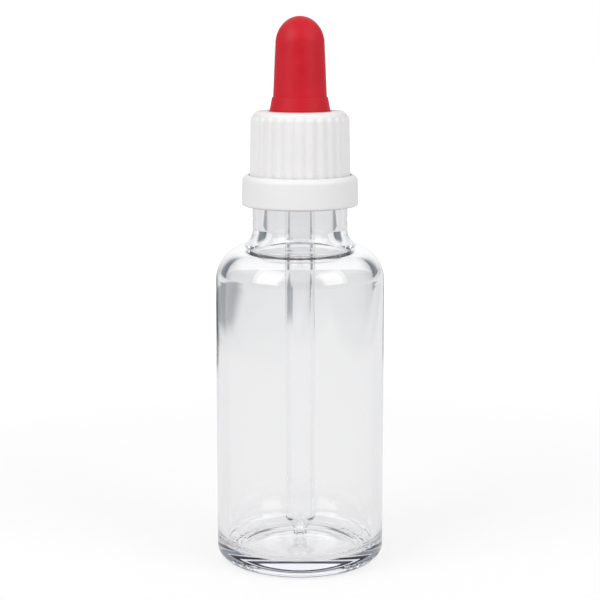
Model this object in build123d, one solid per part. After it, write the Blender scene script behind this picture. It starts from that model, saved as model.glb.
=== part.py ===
from build123d import *
import os
from math import cos, radians, sin, tan

# Dropper bottle, 50 ml, with an 18 mm screw neck.
# Millimetres, +Z up. The origin is the centre of the ring that the bottle stands on.

# Glass body
BODY_DIAMETER = 37.0
WALL = 2.3
HEEL_RADIUS = 3.3
FOOT_WIDTH = 1.3
PUNT_SLOPE = 13.0
FLOOR_EDGE_HEIGHT = 3.5
FLOOR_SLOPE = 10.0
INNER_HEEL_RADIUS = 3.0

# Shoulder, between the straight wall and the neck
SHOULDER_HEIGHT = 62.9
SHOULDER_RADIUS = 8.0
SHOULDER_SLOPE = 20.0
NECK_FILLET = 3.6
BORE_FILLET = 6.0

# Neck and its finish: bead for the tamper ring, land for the thread, and lip.
# BEAD_RISE is the bead's underside above SHOULDER_HEIGHT, FINISH_LENGTH the lip above that underside.
# The bore is narrow for BORE_DEPTH below the lip and then widens to the blown neck's.
NECK_DIAMETER = 20.8
NECK_BORE_DIAMETER = 14.6
BORE_DIAMETER = 11.4
BORE_DEPTH = 12.2
BORE_FLARE = 60.0
BEAD_DIAMETER = 22.3
BEAD_RISE = 18.5
BEAD_THICKNESS = 1.3
BEAD_ROUND = 0.3
BEAD_CONE_SLOPE = 40.0
THREAD_CORE_DIAMETER = 16.4
THREAD_DEPTH = 0.75
FINISH_LENGTH = 15.3
LIP_ROUND = 0.8
MOUTH_ROUND = 0.6

# Gaps between neighbouring pieces
SEAL_GAP = 0.05
GRIP_GAP = 0.03
THREAD_GAP = 0.2
HOLE_GAP = 0.3
RING_GAP = 0.3
TIP_GAP = 0.7

# Rubber bulb
FLANGE_THICKNESS = 1.5
FLANGE_MARGIN = 0.5
COLLAR_BASE_DIAMETER = 13.2
COLLAR_TOP_DIAMETER = 12.2
COLLAR_HEIGHT = 3.0
COLLAR_ROUND = 0.25
DOME_BASE_DIAMETER = 11.66
DOME_TOP_DIAMETER = 10.6
DOME_HEIGHT = 11.4
CROWN_HEIGHT = 5.9
CROWN_TURN = 45.0
BULB_WALL = 1.3
GRIP_HEIGHT = 5.6

# Screw cap
CAP_TOP_THICKNESS = 1.5
CAP_WALL = 1.15
CAP_DRAFT = 1.1
CAP_SHOULDER_ROUND = 1.3
CAP_HOLE_ROUND = 0.25
RETAINER_REACH = 0.15
RETAINER_HEIGHT = 0.5
RIB_COUNT = 28
RIB_PROUD = 0.4
RIB_RADIUS = 1.35
RIB_TOP_DROP = 0.6
SKIRT_DIP = 0.6

# Tamper ring
RING_HEIGHT = 6.7
RING_WALL = 1.3
RING_DRAFT = 1.6
RING_TOP_ROUND = 1.25
RING_FOOT_ROUND = 0.6
LEDGE_THICKNESS = 1.0
HOOK_THICKNESS = 0.8
HOOK_BEVEL = 1.0

# Glass pipette
TUBE_DIAMETER = 6.6
TUBE_WALL = 1.0
TUBE_TOP_REACH = 6.8
TUBE_RIM_PROUD = 0.35
TUBE_RIM_HEIGHT = 1.0
TIP_DIAMETER = 2.9
TIP_BORE_DIAMETER = 1.3
TIP_LENGTH = 4.3
TIP_SHOULDER_RADIUS = 1.6
TIP_FILLET = 1.5
TIP_SLOPE = 50.0
TIP_ROUND = 0.3

# Two ends of an outline that are nearer than this are one point
SAME_POINT = 1e-6

# Sizes that follow from the ones above
BODY_R = BODY_DIAMETER / 2
INNER_R = BODY_R - WALL
NECK_R = NECK_DIAMETER / 2
NECK_BORE_R = NECK_BORE_DIAMETER / 2
BORE_R = BORE_DIAMETER / 2
BEAD_R = BEAD_DIAMETER / 2
CORE_R = THREAD_CORE_DIAMETER / 2
THREAD_R = CORE_R + THREAD_DEPTH
BEAD_HEIGHT = SHOULDER_HEIGHT + BEAD_RISE
LIP_HEIGHT = BEAD_HEIGHT + FINISH_LENGTH

FLANGE_BASE = LIP_HEIGHT + SEAL_GAP
FLANGE_TOP = FLANGE_BASE + FLANGE_THICKNESS
FLANGE_R = THREAD_R - FLANGE_MARGIN
CAP_ROOF = FLANGE_TOP + SEAL_GAP
CAP_TOP = CAP_ROOF + CAP_TOP_THICKNESS
CAP_BORE_R = THREAD_R + THREAD_GAP
HOLE_R = COLLAR_BASE_DIAMETER / 2 + HOLE_GAP

HOOK_TOP = BEAD_HEIGHT - RING_GAP
HOOK_R = NECK_R + RING_GAP
RING_BASE = HOOK_TOP - HOOK_THICKNESS - HOOK_BEVEL
RING_TOP = RING_BASE + RING_HEIGHT
RING_BORE_R = BEAD_R + RING_GAP
SKIRT_BASE = RING_TOP - SKIRT_DIP
SKIRT_TOP_R = CAP_BORE_R + CAP_WALL
SKIRT_BASE_R = SKIRT_TOP_R + (CAP_TOP - SKIRT_BASE) * tan(radians(CAP_DRAFT))
LEDGE_R = SKIRT_BASE_R + RIB_PROUD + RING_GAP

FLOOR_REACH = INNER_R - INNER_HEEL_RADIUS - INNER_HEEL_RADIUS * sin(radians(FLOOR_SLOPE))
FLOOR_RISE = FLOOR_REACH * tan(radians(FLOOR_SLOPE / 2))
TIP_END = FLOOR_EDGE_HEIGHT + FLOOR_RISE + TIP_GAP
TUBE_R = TUBE_DIAMETER / 2
TUBE_TOP = FLANGE_BASE + TUBE_TOP_REACH
GRIP_R = TUBE_R + GRIP_GAP


def on_circle(centre, radius, angle):
    """The point of a circle at an angle in degrees, as (r, z)."""
    return (centre[0] + radius * cos(radians(angle)), centre[1] + radius * sin(radians(angle)))


def arc(centre, radius, start, end):
    """An arc about a centre, from one angle to another."""
    points = [on_circle(centre, radius, angle) for angle in (start, (start + end) / 2, end)]
    return ThreePointArc(*points)


def dome_arc(rim, slope):
    """An arc from a rim to the axis, where it is level; slope is its angle at the rim."""
    radius = rim[0] / sin(radians(slope))
    centre = (0.0, rim[1] - radius * cos(radians(slope)))
    return arc(centre, radius, 90 - slope, 90)


def shoulder_arcs(wide, narrow, height, convex, concave, slope, up=1):
    """A round shoulder that starts at a height on the wide radius, and a fillet into the narrow one."""
    normal = 90 - slope
    centre = (wide - convex, height)
    shoulder_end = on_circle(centre, convex, up * normal)
    foot_r = narrow + concave - concave * cos(radians(normal))
    foot_z = shoulder_end[1] + up * (shoulder_end[0] - foot_r) * tan(radians(slope))
    fillet_centre = (narrow + concave, foot_z + up * concave * sin(radians(normal)))
    shoulder = arc(centre, convex, 0, up * normal)
    fillet = arc(fillet_centre, concave, 180 + up * normal, 180)
    return shoulder, fillet


def crown_arcs(radius, foot, height):
    """A round crown: an arc from the side up to CROWN_TURN, then a tighter one over the top."""
    turn = radians(CROWN_TURN)
    share = (1 - sin(turn)) / cos(turn)
    side = (height - radius * share) / (sin(turn) - (1 - cos(turn)) * share)
    top = (radius - side * (1 - cos(turn))) / cos(turn)
    side_arc = arc((radius - side, foot), side, 0, CROWN_TURN)
    top_arc = arc((0.0, foot + height - top), top, CROWN_TURN, 90)
    return side_arc, top_arc


def turned(*runs):
    """Join points and arcs by straight lines, close the loop and revolve it about Z."""
    edges = []
    first = None
    last = None
    for run in runs:
        is_arc = isinstance(run, Edge)
        start = run @ 0 if is_arc else Vector(*run)
        end = run @ 1 if is_arc else Vector(*run)
        if last is not None and (last - end).length < (last - start).length:
            start, end = end, start
        if last is not None and (start - last).length > SAME_POINT:
            edges.append(Line(last, start))
        if is_arc:
            edges.append(run)
        first = start if first is None else first
        last = end
    if (first - last).length > SAME_POINT:
        edges.append(Line(last, first))
    return revolve(Plane.XZ * make_face(edges), axis=Axis.Z)


def make_bottle():
    """Glass body with a pushed-up base, a round shoulder and a screw neck."""
    floor_edge = (INNER_R - INNER_HEEL_RADIUS, FLOOR_EDGE_HEIGHT + INNER_HEEL_RADIUS)
    inner_heel = arc(floor_edge, INNER_HEEL_RADIUS, -90 - FLOOR_SLOPE, 0)
    floor_rim = inner_heel @ 0
    floor = dome_arc((floor_rim.X, floor_rim.Y), FLOOR_SLOPE)
    inner_shoulder, bore_fillet = shoulder_arcs(
        INNER_R, NECK_BORE_R, SHOULDER_HEIGHT, SHOULDER_RADIUS - WALL, BORE_FILLET, SHOULDER_SLOPE
    )
    bore_foot = LIP_HEIGHT - BORE_DEPTH
    flare_foot = bore_foot - (NECK_BORE_R - BORE_R) * tan(radians(BORE_FLARE))
    mouth = arc((BORE_R + MOUTH_ROUND, LIP_HEIGHT - MOUTH_ROUND), MOUTH_ROUND, 180, 90)
    lip = arc((CORE_R - LIP_ROUND, LIP_HEIGHT - LIP_ROUND), LIP_ROUND, 90, 0)

    bead_top = BEAD_HEIGHT + BEAD_THICKNESS
    bead_over = arc((BEAD_R - BEAD_ROUND, bead_top - BEAD_ROUND), BEAD_ROUND, 90 - BEAD_CONE_SLOPE, 0)
    bead_under = arc((BEAD_R - BEAD_ROUND, BEAD_HEIGHT + BEAD_ROUND), BEAD_ROUND, 0, -90)
    cone_foot = bead_over @ 0
    cone_top = (CORE_R, cone_foot.Y + (cone_foot.X - CORE_R) * tan(radians(BEAD_CONE_SLOPE)))

    shoulder, neck_fillet = shoulder_arcs(
        BODY_R, NECK_R, SHOULDER_HEIGHT, SHOULDER_RADIUS, NECK_FILLET, SHOULDER_SLOPE
    )
    foot_r = BODY_R - HEEL_RADIUS
    heel = arc((foot_r, HEEL_RADIUS), HEEL_RADIUS, 0, -90)
    punt = dome_arc((foot_r - FOOT_WIDTH, 0.0), PUNT_SLOPE)
    return turned(
        punt,
        floor,
        inner_heel,
        inner_shoulder,
        bore_fillet,
        (NECK_BORE_R, flare_foot),
        (BORE_R, bore_foot),
        mouth,
        lip,
        cone_top,
        bead_over,
        bead_under,
        (NECK_R, BEAD_HEIGHT),
        neck_fillet,
        shoulder,
        heel,
    )


def make_rib():
    """One grip rib at the +X side: a rod that leans with the skirt and has a round top."""
    length = CAP_TOP - RIB_TOP_DROP - RIB_RADIUS - SKIRT_BASE
    rod = Cylinder(RIB_RADIUS, length, align=(Align.CENTER, Align.CENTER, Align.MIN))
    rod += Pos(0, 0, length) * Sphere(RIB_RADIUS)
    foot = Location((SKIRT_BASE_R + RIB_PROUD - RIB_RADIUS, 0, SKIRT_BASE), (0, -CAP_DRAFT, 0))
    return foot * rod


def make_cap():
    """Screw cap: a ribbed skirt, a top with a hole for the bulb, and a bead that keeps the flange."""
    shoulder_centre = (SKIRT_TOP_R - CAP_SHOULDER_ROUND, CAP_TOP - CAP_SHOULDER_ROUND)
    shell = turned(
        (0, SKIRT_BASE),
        (SKIRT_BASE_R, SKIRT_BASE),
        arc(shoulder_centre, CAP_SHOULDER_ROUND, CAP_DRAFT, 90),
        (0, CAP_TOP),
    )
    shell += [Rot(0, 0, turn * 360 / RIB_COUNT) * make_rib() for turn in range(RIB_COUNT)]
    retainer_r = FLANGE_R - RETAINER_REACH
    retainer_top = FLANGE_BASE - SEAL_GAP
    hollow = turned(
        (0, SKIRT_BASE),
        (CAP_BORE_R, SKIRT_BASE),
        (CAP_BORE_R, retainer_top - 2 * RETAINER_HEIGHT),
        (retainer_r, retainer_top - RETAINER_HEIGHT),
        (retainer_r, retainer_top),
        (CAP_BORE_R, retainer_top),
        (CAP_BORE_R, CAP_ROOF),
        (HOLE_R, CAP_ROOF),
        arc((HOLE_R + CAP_HOLE_ROUND, CAP_TOP - CAP_HOLE_ROUND), CAP_HOLE_ROUND, 180, 90),
        (0, CAP_TOP),
    )
    overhang = Pos(0, 0, SKIRT_BASE) * Cylinder(
        SKIRT_BASE_R + RIB_RADIUS, RIB_RADIUS, align=(Align.CENTER, Align.CENTER, Align.MAX)
    )
    return shell - hollow - overhang


def make_tamper_ring():
    """Ring that stays on the neck, hooked under its bead, when the cap is first unscrewed."""
    outer_r = RING_BORE_R + RING_WALL
    top_r = outer_r - (RING_TOP - RING_TOP_ROUND - RING_BASE) * tan(radians(RING_DRAFT))
    return turned(
        arc((outer_r - RING_FOOT_ROUND, RING_BASE + RING_FOOT_ROUND), RING_FOOT_ROUND, -90, 0),
        arc((top_r - RING_TOP_ROUND, RING_TOP - RING_TOP_ROUND), RING_TOP_ROUND, 0, 90),
        (LEDGE_R, RING_TOP),
        (LEDGE_R, RING_TOP - LEDGE_THICKNESS),
        (RING_BORE_R, RING_TOP - LEDGE_THICKNESS - (RING_BORE_R - LEDGE_R)),
        (RING_BORE_R, HOOK_TOP),
        (HOOK_R, HOOK_TOP),
        (HOOK_R, HOOK_TOP - HOOK_THICKNESS),
        (RING_BORE_R, RING_BASE),
    )


def make_bulb():
    """Rubber bulb: a flange that seals the lip, a collar that grips the tube, and a hollow dome."""
    collar_r = COLLAR_BASE_DIAMETER / 2
    collar_top_r = COLLAR_TOP_DIAMETER / 2
    collar_top = CAP_TOP + COLLAR_HEIGHT
    dome_top_r = DOME_TOP_DIAMETER / 2
    dome_top = collar_top + DOME_HEIGHT
    crown_side, crown_top = crown_arcs(dome_top_r, dome_top, CROWN_HEIGHT)
    inner_side, inner_top = crown_arcs(dome_top_r - BULB_WALL, dome_top, CROWN_HEIGHT - BULB_WALL)
    grip_top = FLANGE_BASE + GRIP_HEIGHT
    return turned(
        (GRIP_R, FLANGE_BASE),
        (FLANGE_R, FLANGE_BASE),
        (FLANGE_R, FLANGE_TOP),
        (collar_r, FLANGE_TOP),
        (collar_r, CAP_TOP),
        arc((collar_top_r - COLLAR_ROUND, collar_top - COLLAR_ROUND), COLLAR_ROUND, 0, 90),
        (DOME_BASE_DIAMETER / 2, collar_top),
        crown_side,
        crown_top,
        inner_top,
        inner_side,
        (DOME_BASE_DIAMETER / 2 - BULB_WALL, grip_top),
        (GRIP_R, grip_top),
    )


def make_pipette():
    """Glass tube with a rolled rim at its top and a drawn-in tip just above the floor."""
    rim_r = TUBE_R + TUBE_RIM_PROUD
    rim_round = TUBE_RIM_HEIGHT / 2
    bore_r = TUBE_R - TUBE_WALL
    tip_r = TIP_DIAMETER / 2
    tip_bore_r = TIP_BORE_DIAMETER / 2
    tip_wall = tip_r - tip_bore_r
    taper = TIP_END + TIP_LENGTH
    tip_shoulder, tip_fillet = shoulder_arcs(
        TUBE_R, tip_r, taper, TIP_SHOULDER_RADIUS, TIP_FILLET, TIP_SLOPE, up=-1
    )
    bore_shoulder, bore_fillet = shoulder_arcs(
        bore_r, tip_bore_r, taper, TIP_SHOULDER_RADIUS - TUBE_WALL, TIP_FILLET + tip_wall, TIP_SLOPE, up=-1
    )
    return turned(
        (bore_r, TUBE_TOP),
        arc((rim_r - rim_round, TUBE_TOP - rim_round), rim_round, 90, -90),
        (TUBE_R, TUBE_TOP - TUBE_RIM_HEIGHT),
        tip_shoulder,
        tip_fillet,
        arc((tip_r - TIP_ROUND, TIP_END + TIP_ROUND), TIP_ROUND, 0, -90),
        (tip_bore_r, TIP_END),
        bore_fillet,
        bore_shoulder,
    )


NODES = {
    "bottle": make_bottle,
    "tamper_ring": make_tamper_ring,
    "cap": make_cap,
    "bulb": make_bulb,
    "pipette": make_pipette,
}

os.makedirs("parts", exist_ok=True)
for node, make in NODES.items():
    export_step(make(), "parts/" + node + ".step")
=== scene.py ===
"""Looks of the dropper bottle: clear glass body and pipette, ribbed screw cap, tamper ring and rubber bulb.

The pieces' sizes are in millimetres and degrees, as a maker would write them. Meshes, node trees, finishes
and the studio are in metres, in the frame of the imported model: +Z up, the origin at the centre of the ring
that the bottle stands on.
"""

import logging
from dataclasses import dataclass, field
from enum import Enum
from math import ceil, cos, hypot, pi, radians, sin, tan

import bpy
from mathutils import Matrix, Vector


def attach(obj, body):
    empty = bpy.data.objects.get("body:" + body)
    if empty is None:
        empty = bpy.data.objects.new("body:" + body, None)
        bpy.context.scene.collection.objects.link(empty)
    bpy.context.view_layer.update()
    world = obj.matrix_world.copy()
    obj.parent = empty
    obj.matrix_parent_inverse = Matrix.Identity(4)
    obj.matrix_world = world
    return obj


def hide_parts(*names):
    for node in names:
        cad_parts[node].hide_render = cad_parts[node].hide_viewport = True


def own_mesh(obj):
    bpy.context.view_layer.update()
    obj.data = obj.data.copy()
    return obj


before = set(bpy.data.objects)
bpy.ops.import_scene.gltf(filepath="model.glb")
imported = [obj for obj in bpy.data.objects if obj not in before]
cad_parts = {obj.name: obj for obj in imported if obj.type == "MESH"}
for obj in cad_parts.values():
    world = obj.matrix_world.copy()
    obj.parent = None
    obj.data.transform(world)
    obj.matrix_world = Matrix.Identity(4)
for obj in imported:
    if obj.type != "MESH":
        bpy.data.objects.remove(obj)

LOG = logging.getLogger("dropper_bottle")
MM = 0.001
# Points of an outline that are closer than this are one point, and a radius under it is the axis.
SAME = 1e-6

Point = tuple[float, float]
Colour = tuple[float, float, float]


class Body(Enum):
    """The bodies that move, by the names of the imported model."""

    BOTTLE = "bottle"
    TAMPER_RING = "tamper_ring"
    DROPPER = "dropper"
    CAP = "cap"
    BULB = "bulb"


class Slot(Enum):
    """The record's material slots."""

    BOTTLE_GLASS = "bottle_glass"
    PIPETTE_GLASS = "pipette_glass"
    CAP_PLASTIC = "cap_plastic"
    BULB_RUBBER = "bulb_rubber"


class Sense(Enum):
    """Which way a thread's ridge stands: outwards on a neck, inwards in a cap."""

    OUTWARDS = 1.0
    INWARDS = -1.0


# Outlines


@dataclass(frozen=True)
class Arc:
    """An arc in the half plane (r, z), from one angle to another."""

    centre: Point
    radius: float
    start: float
    end: float

    def at(self, share: float) -> Point:
        """The point at a share of the way along the arc."""
        angle = radians(self.start + (self.end - self.start) * share)
        return (self.centre[0] + self.radius * cos(angle), self.centre[1] + self.radius * sin(angle))

    def points(self, turn: float, length: float) -> list[Point]:
        """Points along the arc.

        Args:
            turn: the most that the arc may turn between two points, in degrees.
            length: the most that two points may be apart.

        Returns:
            The points, both ends included.
        """
        sweep = abs(self.end - self.start)
        steps = max(2, ceil(sweep / turn), ceil(radians(sweep) * self.radius / length))
        return [self.at(step / steps) for step in range(steps + 1)]


@dataclass(frozen=True)
class Rows:
    """A straight run to a point, in rows no longer than a step."""

    end: Point
    step: float


def dome_arc(rim: Point, slope: float) -> Arc:
    """An arc from a rim to the axis, where it is level; slope is its angle at the rim."""
    radius = rim[0] / sin(radians(slope))
    centre = (0.0, rim[1] - radius * cos(radians(slope)))
    return Arc(centre, radius, 90 - slope, 90)


def shoulder_arcs(
    wide: float, narrow: float, height: float, convex: float, concave: float, slope: float, up: int = 1
) -> tuple[Arc, Arc]:
    """A round shoulder on the wide radius and a fillet into the narrow one.

    Args:
        wide: radius that the shoulder starts from.
        narrow: radius that the fillet ends on.
        height: where the shoulder starts.
        convex: radius of the shoulder.
        concave: radius of the fillet.
        slope: angle of the run between them, from level.
        up: 1 where it closes upwards, -1 where it closes downwards.

    Returns:
        The shoulder's arc and the fillet's arc.
    """
    normal = 90 - slope
    centre = (wide - convex, height)
    end = Arc(centre, convex, 0, up * normal).at(1)
    foot_r = narrow + concave - concave * cos(radians(normal))
    foot_z = end[1] + up * (end[0] - foot_r) * tan(radians(slope))
    fillet_centre = (narrow + concave, foot_z + up * concave * sin(radians(normal)))
    return Arc(centre, convex, 0, up * normal), Arc(fillet_centre, concave, 180 + up * normal, 180)


def crown_arcs(radius: float, foot: float, height: float, turn: float) -> tuple[Arc, Arc]:
    """A round crown: an arc from the side up to a turn, then a tighter one over the top.

    Args:
        radius: radius where the crown starts.
        foot: height where the crown starts.
        height: how far it rises.
        turn: angle where the first arc gives way to the second.

    Returns:
        The side's arc and the top's arc.
    """
    angle = radians(turn)
    share = (1 - sin(angle)) / cos(angle)
    side = (height - radius * share) / (sin(angle) - (1 - cos(angle)) * share)
    top = (radius - side * (1 - cos(angle))) / cos(angle)
    return Arc((radius - side, foot), side, 0, turn), Arc((0.0, foot + height - top), top, turn, 90)


def apart(one: Point, other: Point) -> float:
    """The distance between two points of the half plane."""
    return hypot(one[0] - other[0], one[1] - other[1])


def between(one: Point, other: Point, share: float) -> Point:
    """The point at a share of the way from one point to another."""
    return (one[0] + (other[0] - one[0]) * share, one[1] + (other[1] - one[1]) * share)


def outline(*runs: Point | Arc | Rows, turn: float = 4.0, length: float = 2.0) -> list[Point]:
    """Join points, arcs and straight rows into one closed outline that runs clockwise.

    Args:
        runs: the outline's parts in order; an arc is turned round where its far end is the nearer one.
        turn: the most that an arc may turn between two points.
        length: the most that two points of an arc may be apart.

    Returns:
        The outline's points, with no point twice.
    """
    points: list[Point] = []
    for run in runs:
        if isinstance(run, Arc):
            steps = run.points(turn, length)
            if points and apart(points[-1], steps[-1]) < apart(points[-1], steps[0]):
                steps.reverse()
        elif isinstance(run, Rows):
            last = points[-1]
            count = max(1, ceil(apart(last, run.end) / run.step))
            steps = [between(last, run.end, row / count) for row in range(1, count + 1)]
        else:
            steps = [run]
        points += [p for i, p in enumerate(steps) if i or not points or apart(points[-1], p) > SAME]
    if apart(points[0], points[-1]) < SAME:
        points.pop()
    around = zip(points, points[1:] + points[:1])
    if sum(a[0] * b[1] - b[0] * a[1] for a, b in around) > 0:
        points.reverse()
    return points


# Meshes


def lathe(name: str, points: list[Point], columns: int) -> bpy.types.Object:
    """Turn a closed clockwise outline about Z.

    Args:
        name: the new object's name.
        points: the outline, in millimetres.
        columns: how many steps go round.

    Returns:
        An object in the scene, with one closed mesh whose faces point outwards.
    """
    turns = [(cos(2 * pi * column / columns), sin(2 * pi * column / columns)) for column in range(columns)]
    vertices: list[tuple[float, float, float]] = []
    rings: list[list[int]] = []
    for r, z in points:
        first = len(vertices)
        if r < SAME:
            vertices.append((0.0, 0.0, z * MM))
            rings.append([first] * columns)
        else:
            vertices += [(r * c * MM, r * s * MM, z * MM) for c, s in turns]
            rings.append(list(range(first, first + columns)))
    faces: list[tuple[int, ...]] = []
    for here, there in zip(rings, rings[1:] + rings[:1]):
        for column in range(columns):
            after = (column + 1) % columns
            corners = dict.fromkeys((here[column], there[column], there[after], here[after]))
            if len(corners) > 2:
                faces.append(tuple(corners))
    mesh = bpy.data.meshes.new(name)
    mesh.from_pydata(vertices, [], faces)
    mesh.update()
    made = bpy.data.objects.new(name, mesh)
    bpy.context.scene.collection.objects.link(made)
    return made


def smooth(piece: bpy.types.Object, sharp: float) -> None:
    """Shade a piece smooth, but keep the edges that turn by more than an angle sharp."""
    piece.data.shade_smooth()
    piece.data.set_sharp_from_angle(angle=radians(sharp))


# Node trees


Input = bpy.types.NodeSocket | float | int | bool | tuple


class Nodes:
    """Adds nodes to a tree, each with its settings and inputs in one call."""

    def __init__(self, tree: bpy.types.NodeTree) -> None:
        """Keep the tree."""
        self.tree = tree

    def add(
        self, kind: str, inputs: dict[str | int, Input] | None = None, **settings: object
    ) -> bpy.types.Node:
        """Add one node.

        Args:
            kind: the node's Blender type.
            inputs: a value or another node's socket for each input, by name or number.
            settings: the node's own properties.

        Returns:
            The node.
        """
        node = self.tree.nodes.new(kind)
        for name, value in settings.items():
            setattr(node, name, value)
        for key, value in (inputs or {}).items():
            self.feed(node.inputs[key], value)
        return node

    def feed(self, target: bpy.types.NodeSocket, value: Input) -> None:
        """Link a socket to an input, or write a value on it."""
        if isinstance(value, bpy.types.NodeSocket):
            self.tree.links.new(value, target)
        else:
            target.default_value = value

    def math(self, operation: str, *values: Input) -> bpy.types.NodeSocket:
        """A Math node's result."""
        node = self.add("ShaderNodeMath", dict(enumerate(values)), operation=operation)
        return node.outputs[0]

    def fade(
        self, value: Input, low: Input, high: Input, start: float = 0.0, end: float = 1.0
    ) -> bpy.types.NodeSocket:
        """A smooth step from start to end while a value goes from low to high."""
        inputs: dict[str | int, Input] = {0: value, 1: low, 2: high, 3: start, 4: end}
        return self.add("ShaderNodeMapRange", inputs, interpolation_type="SMOOTHSTEP").outputs[0]

    def xyz(self, vector: bpy.types.NodeSocket) -> list[bpy.types.NodeSocket]:
        """The three parts of a vector."""
        return list(self.add("ShaderNodeSeparateXYZ", {0: vector}).outputs)

    def polar(self, vector: bpy.types.NodeSocket) -> tuple[bpy.types.NodeSocket, ...]:
        """Distance from the axis, angle about it and height of a position."""
        x, y, z = self.xyz(vector)
        flat = self.add("ShaderNodeCombineXYZ", {0: x, 1: y})
        radius = self.add("ShaderNodeVectorMath", {0: flat.outputs[0]}, operation="LENGTH").outputs["Value"]
        return radius, self.math("ARCTAN2", y, x), z

    def blend(self, share: Input, low: Input, high: Input) -> bpy.types.NodeSocket:
        """A mix of two colours."""
        mix = self.add("ShaderNodeMix", {0: share}, data_type="RGBA")
        self.feed(mix.inputs[6], low)
        self.feed(mix.inputs[7], high)
        return mix.outputs[2]


class Recipe(Nodes):
    """A Geometry Nodes tree with named inputs, which ends in Realize Instances and Set Material."""

    KINDS = {float: "NodeSocketFloat", int: "NodeSocketInt"}

    def __init__(self, name: str, **sizes: float | int) -> None:
        """Make the tree with its geometry, material and size inputs.

        Args:
            name: the tree's name.
            sizes: each size input's default, in metres, radians or plain numbers.
        """
        super().__init__(bpy.data.node_groups.new(name, "GeometryNodeTree"))
        face = self.tree.interface
        face.new_socket("Mesh", in_out="INPUT", socket_type="NodeSocketGeometry")
        material = face.new_socket("Material", in_out="INPUT", socket_type="NodeSocketMaterial")
        self.keys = {"Material": material.identifier}
        for label, value in sizes.items():
            item = face.new_socket(label, in_out="INPUT", socket_type=self.KINDS[type(value)])
            item.default_value = value
            self.keys[label] = item.identifier
        face.new_socket("Mesh", in_out="OUTPUT", socket_type="NodeSocketGeometry")
        self.given = self.add("NodeGroupInput").outputs

    def move_out(self, radius: bpy.types.NodeSocket, rise: bpy.types.NodeSocket) -> bpy.types.NodeSocket:
        """Push every vertex away from the axis by a rise, and give the moved mesh."""
        x, y, _ = self.xyz(self.add("GeometryNodeInputPosition").outputs[0])
        share = self.math("DIVIDE", rise, radius)
        flat = {0: self.math("MULTIPLY", x, share), 1: self.math("MULTIPLY", y, share)}
        offset = self.add("ShaderNodeCombineXYZ", flat).outputs[0]
        inputs = {"Geometry": self.given["Mesh"], "Offset": offset}
        return self.add("GeometryNodeSetPosition", inputs).outputs[0]

    def close(self, geometry: bpy.types.NodeSocket) -> None:
        """End the tree."""
        real = self.add("GeometryNodeRealizeInstances", {0: geometry}).outputs[0]
        dressed = self.add("GeometryNodeSetMaterial", {"Geometry": real, "Material": self.given["Material"]})
        self.add("NodeGroupOutput", {0: dressed.outputs[0]})

    def cook(self, piece: bpy.types.Object, material: bpy.types.Material, **sizes: float | int) -> None:
        """Run the tree on a piece and keep its result as a plain mesh.

        Args:
            piece: the object whose mesh goes in.
            material: the finish that Set Material gives it.
            sizes: inputs that differ from their defaults.
        """
        modifier = piece.modifiers.new(self.tree.name, "NODES")
        modifier.node_group = self.tree
        modifier[self.keys["Material"]] = material
        for label, value in sizes.items():
            modifier[self.keys[label]] = value
        graph = bpy.context.evaluated_depsgraph_get()
        mesh = bpy.data.meshes.new_from_object(piece.evaluated_get(graph), depsgraph=graph)
        piece.modifiers.remove(modifier)
        piece.data = mesh


# A thread stands on the vertices that lie this close to its land, in metres.
LAND_TOLERANCE = 0.00002
# The waves of a blown wall grow to their full height over this length, in metres, and as the wall turns to
# the axis: from the first of these cosines between its normal and the way out to the second.
WAVE_FADE = 0.006
WAVE_TURN = (-0.3, -0.95)
# A bridge's stub lies this far over from upright, towards the axis.
STUB_LEAN = radians(-76)


def thread_recipe() -> Recipe:
    """A helical ridge on a round land; Sense 1 stands outwards and -1 inwards.

    Returns:
        The tree, whose Start is the ridge's height half a turn before its first end.
    """
    recipe = Recipe(
        "Thread", Land=0.0082, Depth=0.00075, Pitch=0.003, Start=0.0855, Turns=2.3, Foot=0.001, Crest=0.0004,
        Fade=0.12, Sense=1.0,
    )
    given = recipe.given
    radius, angle, z = recipe.polar(recipe.add("GeometryNodeInputPosition").outputs[0])
    turn = recipe.math("DIVIDE", angle, 2 * pi)
    above = recipe.math("SUBTRACT", z, given["Start"])
    rows = recipe.math("SUBTRACT", recipe.math("DIVIDE", above, given["Pitch"]), turn)
    row = recipe.math("FLOOR", rows)
    off = recipe.math("ABSOLUTE", recipe.math("SUBTRACT", recipe.math("FRACT", rows), 0.5))
    ridge = recipe.fade(recipe.math("MULTIPLY", off, given["Pitch"]), given["Foot"], given["Crest"])
    along = recipe.math("ADD", row, turn)
    run_in = recipe.fade(along, 0.0, given["Fade"])
    run_out = recipe.fade(along, given["Turns"], recipe.math("SUBTRACT", given["Turns"], given["Fade"]))
    on_land = recipe.math("COMPARE", radius, given["Land"], LAND_TOLERANCE)
    rise = recipe.math("MULTIPLY", recipe.math("MULTIPLY", given["Depth"], given["Sense"]), ridge)
    rise = recipe.math("MULTIPLY", rise, run_in)
    rise = recipe.math("MULTIPLY", rise, recipe.math("MULTIPLY", run_out, on_land))
    recipe.close(recipe.move_out(radius, rise))
    return recipe


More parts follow.
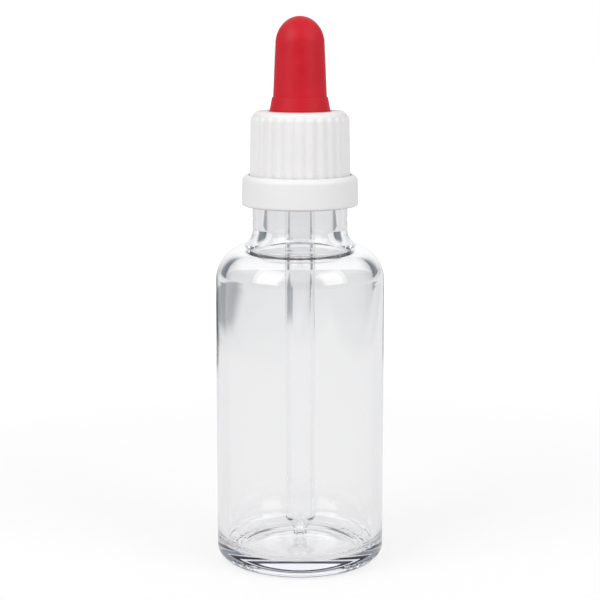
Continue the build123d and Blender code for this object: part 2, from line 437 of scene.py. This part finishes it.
def blown_recipe() -> Recipe:
    """The uneven inner wall of blown glass: slow waves, longer up the wall than round it.

    Returns:
        The tree.
    """
    recipe = Recipe("Blown wall", Height=0.0002, Scale=70.0, Stretch=0.35, Low=0.009, High=0.068)
    given = recipe.given
    place = recipe.add("GeometryNodeInputPosition").outputs[0]
    radius, _, z = recipe.polar(place)
    x, y, _ = recipe.xyz(place)
    nx, ny, _ = recipe.xyz(recipe.add("GeometryNodeInputNormal").outputs[0])
    dot = recipe.math("ADD", recipe.math("MULTIPLY", x, nx), recipe.math("MULTIPLY", y, ny))
    inwards = recipe.fade(recipe.math("DIVIDE", dot, radius), *WAVE_TURN)
    above = recipe.fade(z, given["Low"], recipe.math("ADD", given["Low"], WAVE_FADE))
    below = recipe.fade(z, given["High"], recipe.math("SUBTRACT", given["High"], WAVE_FADE))
    drawn = recipe.add("ShaderNodeCombineXYZ", {0: x, 1: y, 2: recipe.math("MULTIPLY", z, given["Stretch"])})
    waves = {"Vector": drawn.outputs[0], "Scale": given["Scale"], "Detail": 1.0}
    noise = recipe.add("ShaderNodeTexNoise", waves).outputs[0]
    wave = recipe.math("MULTIPLY", recipe.math("SUBTRACT", noise, 0.5), given["Height"])
    rise = recipe.math("MULTIPLY", wave, inwards)
    rise = recipe.math("MULTIPLY", rise, recipe.math("MULTIPLY", above, below))
    recipe.close(recipe.move_out(radius, rise))
    return recipe


def rib_recipe() -> Recipe:
    """Grip ribs on a cap's skin: rods that lean with the skirt, end in an arch and melt into the valleys.

    Returns:
        The tree.
    """
    recipe = Recipe(
        "Grip ribs", Ribs=28, Rod=0.00135, Circle=0.0096, Lean=0.0192, Foot=0.0854, Arch=0.09785,
        Melt=0.00018, Inside=0.0098,
    )
    given = recipe.given
    radius, angle, z = recipe.polar(recipe.add("GeometryNodeInputPosition").outputs[0])
    half = recipe.math("DIVIDE", pi, given["Ribs"])
    folded = recipe.math("WRAP", angle, half, recipe.math("MULTIPLY", half, -1.0))
    lean = recipe.math("MULTIPLY", recipe.math("SUBTRACT", z, given["Foot"]), given["Lean"])
    circle = recipe.math("SUBTRACT", given["Circle"], lean)
    aside = recipe.math("MULTIPLY", circle, recipe.math("SINE", folded))
    above = recipe.math("MAXIMUM", recipe.math("SUBTRACT", z, given["Arch"]), 0.0)
    squares = recipe.math("ADD", recipe.math("MULTIPLY", aside, aside), recipe.math("MULTIPLY", above, above))
    left = recipe.math("SUBTRACT", recipe.math("MULTIPLY", given["Rod"], given["Rod"]), squares)
    root = recipe.math("SQRT", recipe.math("MAXIMUM", left, 0.0))
    rod = recipe.math("ADD", recipe.math("MULTIPLY", circle, recipe.math("COSINE", folded)), root)
    rod = recipe.math("MULTIPLY", rod, recipe.math("GREATER_THAN", left, 0.0))
    skin = recipe.math("SMOOTH_MAX", radius, rod, given["Melt"])
    outside = recipe.math("GREATER_THAN", radius, given["Inside"])
    rise = recipe.math("MULTIPLY", recipe.math("SUBTRACT", skin, radius), outside)
    recipe.close(recipe.move_out(radius, rise))
    return recipe


def bridge_recipe() -> Recipe:
    """Stubs of the torn bridges, evenly round a ring's inner wall and pointing inwards.

    Returns:
        The tree.
    """
    recipe = Recipe(
        "Bridge stubs", Count=8, Sides=10, Wall=0.0115, Height=0.08475, Reach=0.0008, Thick=0.00038,
        Taper=0.55,
    )
    given = recipe.given
    circle = recipe.add("GeometryNodeMeshCircle", {"Vertices": given["Count"], "Radius": given["Wall"]})
    tip = recipe.math("MULTIPLY", given["Thick"], given["Taper"])
    stub = recipe.add(
        "GeometryNodeMeshCone",
        {"Vertices": given["Sides"], "Radius Top": tip, "Radius Bottom": given["Thick"],
         "Depth": given["Reach"]},
    ).outputs["Mesh"]
    laid = recipe.add("GeometryNodeTransform", {"Geometry": stub, "Rotation": (0.0, STUB_LEAN, 0.0)})
    _, angle, _ = recipe.polar(recipe.add("GeometryNodeInputPosition").outputs[0])
    facing = recipe.add("ShaderNodeCombineXYZ", {2: angle})
    stubs = recipe.add(
        "GeometryNodeInstanceOnPoints",
        {"Points": circle.outputs["Mesh"], "Instance": laid.outputs[0], "Rotation": facing.outputs[0]},
    ).outputs[0]
    height = recipe.add("ShaderNodeCombineXYZ", {2: given["Height"]}).outputs[0]
    raised = recipe.add("GeometryNodeTransform", {"Geometry": stubs, "Translation": height})
    joined = recipe.add("GeometryNodeJoinGeometry")
    recipe.tree.links.new(recipe.given["Mesh"], joined.inputs[0])
    recipe.tree.links.new(raised.outputs[0], joined.inputs[0])
    recipe.close(joined.outputs[0])
    return recipe


# Finishes


def new_material(name: str) -> tuple[bpy.types.Material, Nodes, bpy.types.Node]:
    """A material with an empty tree.

    Args:
        name: the material's name.

    Returns:
        The material, its nodes and its output node.
    """
    material = bpy.data.materials.new(name)
    material.use_nodes = True
    material.node_tree.nodes.clear()
    nodes = Nodes(material.node_tree)
    return material, nodes, nodes.add("ShaderNodeOutputMaterial")


@dataclass(frozen=True)
class Glass:
    """Clear glass: a faint tint in its depth, slow waves from the mould, and stippling on the foot."""

    name: str
    tint: Colour
    density: float
    ior: float = 1.52
    roughness: float = 0.0
    wave_scale: float = 90.0
    wave_height: float = 0.00001
    stipple_scale: float = 900.0
    stipple_height: float = 0.0
    stipple_top: float = 0.0026
    stipple_aside: float = 0.008
    foot_inner: float = 0.0125
    foot_outer: float = 0.0137

    def material(self) -> bpy.types.Material:
        """Build the material."""
        material, nodes, out = new_material(self.name)
        place = nodes.add("ShaderNodeTexCoord").outputs["Object"]
        wave = nodes.add("ShaderNodeTexNoise", {"Vector": place, "Scale": self.wave_scale, "Detail": 2.0})
        waves = {"Strength": 1.0, "Distance": self.wave_height, "Height": wave.outputs[0]}
        normal = nodes.add("ShaderNodeBump", waves).outputs[0]
        if self.stipple_height:
            normal = self.stipple(nodes, place, normal)
        shader = nodes.add(
            "ShaderNodeBsdfPrincipled",
            {"Base Color": (1.0, 1.0, 1.0, 1.0), "Roughness": self.roughness, "IOR": self.ior,
             "Transmission Weight": 1.0, "Normal": normal},
        )
        depth = nodes.add("ShaderNodeVolumeAbsorption", {"Color": (*self.tint, 1.0), "Density": self.density})
        nodes.feed(out.inputs["Surface"], shader.outputs[0])
        nodes.feed(out.inputs["Volume"], depth.outputs[0])
        return material

    def stipple(
        self, nodes: Nodes, place: bpy.types.NodeSocket, normal: bpy.types.NodeSocket
    ) -> bpy.types.NodeSocket:
        """Pebble the foot, low down and away from its front and back.

        Args:
            nodes: the tree that it goes in.
            place: the position on the glass.
            normal: the normal that the pebbles are added to.

        Returns:
            The normal with the pebbles.
        """
        radius, _, z = nodes.polar(place)
        aside = nodes.math("ABSOLUTE", nodes.xyz(place)[0])
        low = nodes.fade(z, self.stipple_top, self.stipple_top * 0.6)
        foot = nodes.fade(radius, self.foot_inner, self.foot_outer)
        wide = nodes.math("MULTIPLY", foot, nodes.fade(aside, self.stipple_aside, self.stipple_aside * 1.4))
        pebbles = {"Vector": place, "Scale": self.stipple_scale, "Smoothness": 0.6}
        cells = nodes.add("ShaderNodeTexVoronoi", pebbles, feature="SMOOTH_F1")
        height = nodes.math("MULTIPLY", nodes.math("MULTIPLY", low, wide), cells.outputs["Distance"])
        bump = {"Strength": 1.0, "Distance": self.stipple_height, "Height": height, "Normal": normal}
        return nodes.add("ShaderNodeBump", bump).outputs[0]


@dataclass(frozen=True)
class Plastic:
    """Satin moulded plastic: a fine orange peel, and a colour that wavers a little."""

    name: str
    light: Colour
    dark: Colour
    ior: float = 1.49
    roughness: float = 0.42
    roughness_spread: float = 0.04
    cloud_scale: float = 140.0
    peel_scale: float = 1800.0
    peel_height: float = 0.000006
    softness: float = 0.12
    soft_reach: Colour = (0.0012, 0.0011, 0.001)

    def material(self) -> bpy.types.Material:
        """Build the material."""
        material, nodes, out = new_material(self.name)
        place = nodes.add("ShaderNodeTexCoord").outputs["Object"]
        cloud = nodes.add("ShaderNodeTexNoise", {"Vector": place, "Scale": self.cloud_scale, "Detail": 3.0})
        colour = nodes.blend(cloud.outputs[0], (*self.light, 1.0), (*self.dark, 1.0))
        peel = nodes.add("ShaderNodeTexNoise", {"Vector": place, "Scale": self.peel_scale, "Detail": 2.0})
        bump = nodes.add("ShaderNodeBump", {"Distance": self.peel_height, "Height": peel.outputs[0]})
        smoothest, roughest = self.roughness - self.roughness_spread, self.roughness + self.roughness_spread
        shine = nodes.fade(peel.outputs[0], 0.3, 0.7, smoothest, roughest)
        shader = nodes.add(
            "ShaderNodeBsdfPrincipled",
            {"Base Color": colour, "Roughness": shine, "IOR": self.ior, "Normal": bump.outputs[0],
             "Subsurface Weight": self.softness, "Subsurface Radius": self.soft_reach,
             "Subsurface Scale": 1.0},
        )
        nodes.feed(out.inputs["Surface"], shader.outputs[0])
        return material


@dataclass(frozen=True)
class Rubber:
    """Satin rubber: a deep colour, lighter where dust lies, with a fine grain."""

    name: str
    colour: Colour
    dusty: Colour
    ior: float = 1.4
    roughness: float = 0.4
    polish: float = 0.05
    wear: float = 0.06
    cloud_scale: float = 220.0
    grain_scale: float = 2600.0
    grain_height: float = 0.000006

    def material(self) -> bpy.types.Material:
        """Build the material."""
        material, nodes, out = new_material(self.name)
        place = nodes.add("ShaderNodeTexCoord").outputs["Object"]
        clouds = {"Vector": place, "Scale": self.cloud_scale, "Detail": 4.0, "Roughness": 0.6}
        cloud = nodes.add("ShaderNodeTexNoise", clouds)
        share = nodes.fade(cloud.outputs[0], 0.35, 0.75)
        colour = nodes.blend(share, (*self.colour, 1.0), (*self.dusty, 1.0))
        grain = nodes.add("ShaderNodeTexNoise", {"Vector": place, "Scale": self.grain_scale, "Detail": 2.0})
        bump = nodes.add("ShaderNodeBump", {"Distance": self.grain_height, "Height": grain.outputs[0]})
        smoothest, roughest = self.roughness - self.polish, self.roughness + self.wear
        shine = nodes.fade(cloud.outputs[0], 0.3, 0.7, smoothest, roughest)
        shader = nodes.add(
            "ShaderNodeBsdfPrincipled",
            {"Base Color": colour, "Roughness": shine, "IOR": self.ior, "Normal": bump.outputs[0]},
        )
        nodes.feed(out.inputs["Surface"], shader.outputs[0])
        return material


# Pieces


@dataclass
class Piece:
    """A sub-assembly: what it is called, what it rides on and what it stands for."""

    name: str
    body: Body
    node: str
    slot: Slot
    columns: int = 256
    sharp: float = 32.0

    def profile(self) -> list[Point]:
        """The outline that is turned about Z."""
        raise NotImplementedError

    def dress(self, piece: bpy.types.Object) -> None:
        """Give the turned mesh its details and its material."""
        raise NotImplementedError

    def build(self) -> bpy.types.Object:
        """Turn the outline, dress it, and place it on its body.

        Returns:
            The finished piece.
        """
        piece = lathe(self.name, self.profile(), self.columns)
        self.dress(piece)
        smooth(piece, self.sharp)
        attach(piece, self.body.value)
        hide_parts(self.node)
        LOG.info("%s: %d faces, on body %s", self.name, len(piece.data.polygons), self.body.value)
        return piece


@dataclass
class Neck:
    """Sizes of the neck and of its finish, which the bottle and its closure share."""

    diameter: float = 20.8
    bore: float = 11.4
    bore_depth: float = 12.2
    bore_flare: float = 60.0
    blown_bore: float = 14.6
    bead_diameter: float = 22.3
    bead_height: float = 81.4
    bead_thickness: float = 1.3
    bead_round: float = 0.3
    bead_cone: float = 40.0
    core: float = 16.4
    thread_depth: float = 0.75
    pitch: float = 3.0
    lip_height: float = 96.7
    lip_round: float = 0.8
    mouth_round: float = 0.6


@dataclass
class BottleGlass(Piece):
    """The blown body: pushed-up base, straight wall, round shoulder, neck, bead, thread and lip."""

    neck: Neck = field(default_factory=Neck)
    diameter: float = 37.0
    wall: float = 2.3
    heel: float = 3.3
    foot_width: float = 1.3
    punt_slope: float = 13.0
    floor_edge: float = 3.5
    floor_slope: float = 10.0
    inner_heel: float = 3.0
    shoulder_height: float = 62.9
    shoulder: float = 8.0
    shoulder_slope: float = 20.0
    neck_fillet: float = 3.6
    bore_fillet: float = 6.0
    thread_start: float = 85.5
    thread_turns: float = 2.3
    unevenness: float = 0.35
    wall_row: float = 1.5
    neck_row: float = 1.0
    thread_row: float = 0.2
    finish: Glass = Glass("bottle glass", tint=(0.45, 0.5, 1.0), density=4.0, stipple_height=0.00025)

    def profile(self) -> list[Point]:
        """The outline of the glass."""
        outer = self.diameter / 2
        inner = outer - self.wall
        neck = self.neck
        bore = neck.bore / 2
        blown = neck.blown_bore / 2
        bore_foot = neck.lip_height - neck.bore_depth
        flare_foot = bore_foot - (blown - bore) * tan(radians(neck.bore_flare))
        core = neck.core / 2
        bead_r = neck.bead_diameter / 2
        bead_top = neck.bead_height + neck.bead_thickness
        heel_centre = (inner - self.inner_heel, self.floor_edge + self.inner_heel)
        heel_arc = Arc(heel_centre, self.inner_heel, -90 - self.floor_slope, 0)
        inner_shoulder, bore_fillet = shoulder_arcs(
            inner, blown, self.shoulder_height, self.shoulder - self.wall, self.bore_fillet,
            self.shoulder_slope,
        )
        shoulder, neck_fillet = shoulder_arcs(
            outer, neck.diameter / 2, self.shoulder_height, self.shoulder, self.neck_fillet,
            self.shoulder_slope,
        )
        bead_round = neck.bead_round
        over = Arc((bead_r - bead_round, bead_top - bead_round), bead_round, 90 - neck.bead_cone, 0)
        under = Arc((bead_r - bead_round, neck.bead_height + bead_round), bead_round, 0, -90)
        cone_foot = over.at(0)
        cone_top = (core, cone_foot[1] + (cone_foot[0] - core) * tan(radians(neck.bead_cone)))
        foot_r = outer - self.heel
        return outline(
            dome_arc((foot_r - self.foot_width, 0.0), self.punt_slope),
            dome_arc(heel_arc.at(0), self.floor_slope),
            heel_arc,
            Rows(inner_shoulder.at(0), self.wall_row),
            inner_shoulder,
            bore_fillet,
            Rows((blown, flare_foot), self.neck_row),
            (bore, bore_foot),
            Arc((bore + neck.mouth_round, neck.lip_height - neck.mouth_round), neck.mouth_round, 180, 90),
            Arc((core - neck.lip_round, neck.lip_height - neck.lip_round), neck.lip_round, 90, 0),
            Rows(cone_top, self.thread_row),
            over,
            under,
            (neck.diameter / 2, neck.bead_height),
            neck_fillet,
            shoulder,
            Arc((foot_r, self.heel), self.heel, 0, -90),
        )

    def dress(self, piece: bpy.types.Object) -> None:
        """Raise the thread on the neck, make the inner wall uneven and give the glass its finish."""
        neck = self.neck
        material = self.finish.material()
        blown_recipe().cook(piece, material, Height=self.unevenness * MM)
        thread_recipe().cook(
            piece, material, Land=neck.core / 2 * MM, Depth=neck.thread_depth * MM, Pitch=neck.pitch * MM,
            Start=self.thread_start * MM, Turns=self.thread_turns,
        )


@dataclass
class ScrewCap(Piece):
    """The cap: a ribbed skirt with arched ribs, a top with a hole, a retaining bead and a thread."""

    neck: Neck = field(default_factory=Neck)
    top: float = 99.8
    top_thickness: float = 1.5
    skirt_base: float = 85.4
    wall: float = 1.15
    draft: float = 1.1
    shoulder_round: float = 1.3
    hole: float = 6.9
    hole_round: float = 0.25
    bore: float = 9.15
    retainer: float = 8.3
    retainer_top: float = 96.7
    retainer_height: float = 0.5
    ribs: int = 28
    rib_proud: float = 0.4
    rib_radius: float = 1.35
    rib_top_drop: float = 0.6
    arch_foot: float = 96.2
    thread_start: float = 87.0
    thread_turns: float = 1.5
    thread_foot: float = 0.7
    thread_crest: float = 0.25
    thread_row: float = 0.2
    arch_row: float = 0.12
    rib_row: float = 1.2
    finish: Plastic = Plastic("cap plastic", light=(0.88, 0.87, 0.87), dark=(0.85, 0.84, 0.84))

    def base_radius(self) -> float:
        """The skirt's radius at its foot, between the ribs."""
        return self.bore + self.wall + (self.top - self.skirt_base) * tan(radians(self.draft))

    def profile(self) -> list[Point]:
        """The outline of the cap without its ribs and thread."""
        roof = self.top - self.top_thickness
        skirt_top = self.bore + self.wall
        shoulder_centre = (skirt_top - self.shoulder_round, self.top - self.shoulder_round)
        shoulder = Arc(shoulder_centre, self.shoulder_round, self.draft, 90)
        start = shoulder.at(0)
        arch_r = start[0] + (start[1] - self.arch_foot) * tan(radians(self.draft))
        return outline(
            (self.bore, self.skirt_base),
            Rows((self.bore, self.retainer_top - 2 * self.retainer_height), self.thread_row),
            (self.retainer, self.retainer_top - self.retainer_height),
            (self.retainer, self.retainer_top),
            (self.bore, self.retainer_top),
            (self.bore, roof),
            (self.hole, roof),
            Arc((self.hole + self.hole_round, self.top - self.hole_round), self.hole_round, 180, 90),
            shoulder,
            Rows((arch_r, self.arch_foot), self.arch_row),
            Rows((self.base_radius(), self.skirt_base), self.rib_row),
        )

    def dress(self, piece: bpy.types.Object) -> None:
        """Raise the ribs and the thread and give the cap its finish."""
        neck = self.neck
        material = self.finish.material()
        circle = self.base_radius() + self.rib_proud - self.rib_radius
        arch = self.top - self.rib_top_drop - self.rib_radius
        rib_recipe().cook(
            piece, material, Ribs=self.ribs, Rod=self.rib_radius * MM, Circle=circle * MM,
            Lean=tan(radians(self.draft)), Foot=self.skirt_base * MM, Arch=arch * MM,
        )
        thread_recipe().cook(
            piece, material, Land=self.bore * MM, Depth=neck.thread_depth * MM, Pitch=neck.pitch * MM,
            Start=self.thread_start * MM, Turns=self.thread_turns, Foot=self.thread_foot * MM,
            Crest=self.thread_crest * MM, Sense=Sense.INWARDS.value,
        )


@dataclass
class TamperRing(Piece):
    """The ring under the cap, hooked under the bead, with the stubs of its torn bridges."""

    base: float = 79.3
    height: float = 6.7
    wall: float = 1.3
    bore: float = 11.45
    draft: float = 1.6
    top_round: float = 1.25
    foot_round: float = 0.6
    ledge: float = 11.28
    ledge_thickness: float = 1.0
    hook: float = 10.7
    hook_top: float = 81.1
    hook_thickness: float = 0.8
    bridges: int = 8
    finish: Plastic = Plastic("ring plastic", light=(0.88, 0.87, 0.87), dark=(0.85, 0.84, 0.84))

    def profile(self) -> list[Point]:
        """The outline of the ring."""
        outer = self.bore + self.wall
        top = self.base + self.height
        top_r = outer - (top - self.top_round - self.base) * tan(radians(self.draft))
        return outline(
            Arc((outer - self.foot_round, self.base + self.foot_round), self.foot_round, -90, 0),
            Arc((top_r - self.top_round, top - self.top_round), self.top_round, 0, 90),
            (self.ledge, top),
            (self.ledge, top - self.ledge_thickness),
            (self.bore, top - self.ledge_thickness - (self.bore - self.ledge)),
            (self.bore, self.hook_top),
            (self.hook, self.hook_top),
            (self.hook, self.hook_top - self.hook_thickness),
            (self.bore, self.base),
        )

    def dress(self, piece: bpy.types.Object) -> None:
        """Add the bridge stubs and give the ring its finish."""
        bridge_recipe().cook(piece, self.finish.material(), Count=self.bridges)


@dataclass
class RubberBulb(Piece):
    """The bulb: a flange on the lip, a collar in the cap's hole and a hollow dome."""

    flange_base: float = 96.75
    flange_top: float = 98.25
    flange: float = 8.45
    cap_top: float = 99.8
    collar_base: float = 6.6
    collar_top: float = 6.1
    collar_height: float = 3.0
    collar_round: float = 0.25
    dome_base: float = 5.83
    dome_top: float = 5.3
    dome_height: float = 11.4
    crown_height: float = 5.9
    crown_turn: float = 45.0
    wall: float = 1.3
    grip: float = 3.33
    grip_height: float = 5.6
    squeeze: float = 6.0
    finish: Rubber = Rubber(
        "bulb rubber", colour=(0.58, 0.0, 0.012), dusty=(0.62, 0.004, 0.018), roughness=0.5
    )

    def profile(self) -> list[Point]:
        """The outline of the rubber."""
        collar_top = self.cap_top + self.collar_height
        dome_top = collar_top + self.dome_height
        crown_side, crown_top = crown_arcs(self.dome_top, dome_top, self.crown_height, self.crown_turn)
        inner_side, inner_top = crown_arcs(
            self.dome_top - self.wall, dome_top, self.crown_height - self.wall, self.crown_turn
        )
        grip_top = self.flange_base + self.grip_height
        collar_centre = (self.collar_top - self.collar_round, collar_top - self.collar_round)
        return outline(
            (self.grip, self.flange_base),
            (self.flange, self.flange_base),
            (self.flange, self.flange_top),
            (self.collar_base, self.flange_top),
            (self.collar_base, self.cap_top),
            Arc(collar_centre, self.collar_round, 0, 90),
            (self.dome_base, collar_top),
            crown_side,
            crown_top,
            inner_top,
            inner_side,
            (self.dome_base - self.wall, grip_top),
            (self.grip, grip_top),
        )

    def dress(self, piece: bpy.types.Object) -> None:
        """Give the rubber its finish."""
        piece.data.materials.append(self.finish.material())

    def build(self) -> bpy.types.Object:
        """Build the bulb and give it a mesh of its own."""
        piece = super().build()
        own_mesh(piece)
        return piece


@dataclass
class Pipette(Piece):
    """The glass tube: a rolled rim in the bulb and a drawn-in tip just above the floor."""

    radius: float = 3.3
    wall: float = 1.0
    top: float = 103.55
    rim_proud: float = 0.35
    rim_height: float = 1.0
    tip: float = 1.45
    tip_bore: float = 0.65
    tip_end: float = 5.31
    tip_length: float = 4.3
    tip_shoulder: float = 1.6
    tip_fillet: float = 1.5
    tip_slope: float = 50.0
    tip_round: float = 0.3
    finish: Glass = Glass("pipette glass", tint=(0.45, 0.5, 1.0), density=4.0)

    def profile(self) -> list[Point]:
        """The outline of the tube."""
        rim_r = self.radius + self.rim_proud
        rim_round = self.rim_height / 2
        bore = self.radius - self.wall
        taper = self.tip_end + self.tip_length
        tip_shoulder, tip_fillet = shoulder_arcs(
            self.radius, self.tip, taper, self.tip_shoulder, self.tip_fillet, self.tip_slope, up=-1
        )
        bore_shoulder, bore_fillet = shoulder_arcs(
            bore, self.tip_bore, taper, self.tip_shoulder - self.wall,
            self.tip_fillet + self.tip - self.tip_bore, self.tip_slope, up=-1
        )
        return outline(
            (bore, self.top),
            Arc((rim_r - rim_round, self.top - rim_round), rim_round, 90, -90),
            (self.radius, self.top - self.rim_height),
            tip_shoulder,
            tip_fillet,
            Arc((self.tip - self.tip_round, self.tip_end + self.tip_round), self.tip_round, 0, -90),
            (self.tip_bore, self.tip_end),
            bore_fillet,
            bore_shoulder,
        )

    def dress(self, piece: bpy.types.Object) -> None:
        """Give the tube its finish."""
        piece.data.materials.append(self.finish.material())


# Studio


WHITE = (1.0, 1.0, 1.0, 1.0)


@dataclass
class Softbox:
    """A rectangular lamp that faces a point of the bottle."""

    name: str
    place: tuple[float, float, float]
    aim: tuple[float, float, float]
    width: float
    height: float
    radiance: float

    def build(self) -> bpy.types.Object:
        """Make the lamp.

        Returns:
            The lamp's object.
        """
        data = bpy.data.lights.new(self.name, "AREA")
        data.shape = "RECTANGLE"
        data.size, data.size_y = self.width, self.height
        data.energy = self.radiance * self.width * self.height * pi
        lamp = bpy.data.objects.new(self.name, data)
        bpy.context.scene.collection.objects.link(lamp)
        lamp.location = self.place
        lamp.rotation_euler = (Vector(self.aim) - Vector(self.place)).to_track_quat("-Z", "Y").to_euler()
        return lamp


@dataclass
class Studio:
    """A white sweep behind and under the bottle, a dim room beside it, softboxes and the camera.

    The camera sees white all round. The glass sees a dim screen on the table at either side of the sweep,
    and a path that has been reflected sees the table's front edge and the room too. The room's stops are
    azimuths from +Y, with +X positive, and levels, where None is the dim colour. The screens' sides are at
    an x, their near edge at a distance from the axis and their far edge at a y, as the table's front edge is.
    """

    dim: Colour = (0.17, 0.2, 0.215)
    room: tuple[tuple[float, float | None], ...] = (
        (-180, 0.06), (-125, 0.1), (-95, 0.5), (-72, 0.5), (-62, None), (-30, None), (-20, 1.0), (22, 1.0),
        (32, None), (60, None), (70, 0.5), (95, 0.5), (125, 0.1), (180, 0.06),
    )
    ceiling: float = 0.9
    table: float = 0.95
    screen_left: float = -0.085
    screen_right: float = 0.25
    screen_near: float = 0.26
    screen_far: float = 0.34
    table_front: float = -0.3
    blur: float = 0.02
    overhead: float = 0.35
    overhead_blur: float = 0.25
    ambient: float = 0.56
    floor_glow: float = 0.6
    plain_glow: float = 0.12
    far_glow: float = 0.42
    glow_start: float = 0.1
    glow_end: float = 0.45
    floor_half: float = 3.0
    floor_tone: float = 0.3
    camera_place: tuple[float, float, float] = (0.0, -0.355, 0.120)
    camera_tilt: float = 80.974
    lens: float = 98.09
    shift: float = -0.04
    bounces: int = 32
    glossy_bounces: int = 16
    aim: tuple[float, float, float] = (0.0, 0.0, 0.075)

    def seen(self, nodes: Nodes, straight: Input, reflected: Input) -> bpy.types.NodeSocket:
        """The colour of the surroundings for each kind of ray.

        Args:
            nodes: the tree that it goes in.
            straight: colour for a ray that sees them straight or through glass.
            reflected: colour for a path that has been reflected.

        Returns:
            The colour.
        """
        path = nodes.add("ShaderNodeLightPath").outputs
        turned = nodes.math("GREATER_THAN", path["Glossy Depth"], 0.5)
        through = nodes.math("MAXIMUM", path["Is Transmission Ray"], path["Is Glossy Ray"])
        looks = nodes.math("MAXIMUM", path["Is Camera Ray"], through)
        grey = (self.ambient,) * 3 + (1.0,)
        return nodes.blend(looks, grey, nodes.blend(turned, straight, reflected))

    def build_world(self) -> None:
        """Make the sweep's light and the room round it."""
        world = bpy.data.worlds.new("studio")
        bpy.context.scene.world = world
        world.use_nodes = True
        world.node_tree.nodes.clear()
        nodes = Nodes(world.node_tree)
        x, y, z = nodes.xyz(nodes.add("ShaderNodeTexCoord").outputs["Generated"])
        azimuth = nodes.math("MULTIPLY_ADD", nodes.math("ARCTAN2", x, y), 0.5 / pi, 0.5)
        ramp = nodes.add("ShaderNodeValToRGB", {0: azimuth})
        stops = ramp.color_ramp.elements
        while len(stops) < len(self.room):
            stops.new(0.5)
        for stop, (angle, level) in zip(stops, self.room):
            stop.position = angle / 360 + 0.5
            tone = self.dim if level is None else (level,) * 3
            stop.color = (*tone, 1.0)
        high = nodes.fade(z, self.overhead, self.overhead + self.overhead_blur)
        around = nodes.blend(high, ramp.outputs[0], (self.ceiling,) * 3 + (1.0,))
        colour = self.seen(nodes, WHITE, around)
        light = nodes.add("ShaderNodeBackground", {"Color": colour, "Strength": 1.0})
        nodes.add("ShaderNodeOutputWorld", {0: light.outputs[0]})

    def build_floor(self) -> None:
        """Make the pale floor, which glows as the sweep does and takes the bottle's shadow."""
        half = self.floor_half
        mesh = bpy.data.meshes.new("floor")
        corners = [(-half, -half, 0), (half, -half, 0), (half, half, 0), (-half, half, 0)]
        mesh.from_pydata(corners, [], [(0, 1, 2, 3)])
        floor = bpy.data.objects.new("floor", mesh)
        bpy.context.scene.collection.objects.link(floor)
        material, nodes, out = new_material("pale floor")
        place = nodes.add("ShaderNodeTexCoord").outputs["Object"]
        x, y, _ = nodes.xyz(place)
        radius, _, _ = nodes.polar(place)
        left = nodes.fade(x, self.screen_left + self.blur, self.screen_left - self.blur)
        right = nodes.fade(x, self.screen_right - self.blur, self.screen_right + self.blur)
        near = nodes.fade(radius, self.screen_near - self.blur, self.screen_near + self.blur)
        far = nodes.fade(y, self.screen_far + self.blur, self.screen_far - self.blur)
        beside = nodes.math("MAXIMUM", left, right)
        screen = nodes.math("MULTIPLY", beside, nodes.math("MULTIPLY", near, far))
        front = nodes.fade(y, self.table_front - self.blur, self.table_front + self.blur)
        dim = (*self.dim, 1.0)
        straight = nodes.blend(screen, WHITE, dim)
        bounced = nodes.blend(screen, (self.table,) * 3 + (1.0,), dim)
        reflected = nodes.blend(front, dim, bounced)
        camera = nodes.add("ShaderNodeLightPath").outputs["Is Camera Ray"]
        plain = nodes.fade(radius, self.glow_start, self.glow_end, self.plain_glow, self.far_glow)
        strength = nodes.math("MULTIPLY_ADD", plain, camera, self.floor_glow)
        seen = nodes.blend(camera, self.seen(nodes, straight, reflected), WHITE)
        glow = nodes.add("ShaderNodeEmission", {"Color": seen, "Strength": strength})
        paint = nodes.add("ShaderNodeBsdfDiffuse", {"Color": (self.floor_tone,) * 3 + (1.0,)})
        both = nodes.add("ShaderNodeAddShader", {0: glow.outputs[0], 1: paint.outputs[0]})
        nodes.feed(out.inputs["Surface"], both.outputs[0])
        mesh.materials.append(material)

    def build_camera(self) -> None:
        """Make the camera at the photograph's viewing angle."""
        data = bpy.data.cameras.new("camera")
        data.sensor_width = 36.0
        data.lens = self.lens
        data.shift_y = self.shift
        data.clip_start, data.clip_end = 0.01, 20.0
        camera = bpy.data.objects.new("camera", data)
        bpy.context.scene.collection.objects.link(camera)
        camera.location = self.camera_place
        camera.rotation_euler = (radians(self.camera_tilt), 0.0, 0.0)
        bpy.context.scene.camera = camera

    def build(self) -> None:
        """Make the whole studio."""
        self.build_camera()
        self.build_world()
        self.build_floor()
        boxes = [
            Softbox("left softbox", (-0.60, -0.50, 0.56), self.aim, width=0.60, height=0.70, radiance=3.0),
            Softbox("right softbox", (0.62, -0.48, 0.52), self.aim, width=0.52, height=0.66, radiance=2.6),
        ]
        for box in boxes:
            box.build()
            LOG.info("%s: lamp", box.name)
        scene = bpy.context.scene
        scene.view_settings.view_transform = "Standard"
        scene.cycles.max_bounces = self.bounces
        scene.cycles.transmission_bounces = self.bounces
        scene.cycles.glossy_bounces = self.glossy_bounces
        scene.cycles.caustics_reflective = True
        scene.cycles.caustics_refractive = True


def main() -> None:
    """Build the studio and every piece."""
    logging.basicConfig(level=logging.INFO, format="%(name)s: %(message)s")
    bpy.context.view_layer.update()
    Studio().build()
    pieces = [
        BottleGlass("bottle_glass_body", Body.BOTTLE, "bottle", Slot.BOTTLE_GLASS, columns=288),
        TamperRing("tamper_band", Body.TAMPER_RING, "tamper_ring", Slot.CAP_PLASTIC, columns=256),
        ScrewCap("ribbed_cap", Body.CAP, "cap", Slot.CAP_PLASTIC, columns=448),
        RubberBulb("rubber_bulb", Body.BULB, "bulb", Slot.BULB_RUBBER, columns=192),
        Pipette("glass_pipette", Body.DROPPER, "pipette", Slot.PIPETTE_GLASS, columns=160),
    ]
    for piece in pieces:
        piece.build()


if __name__ == "__main__":
    main()
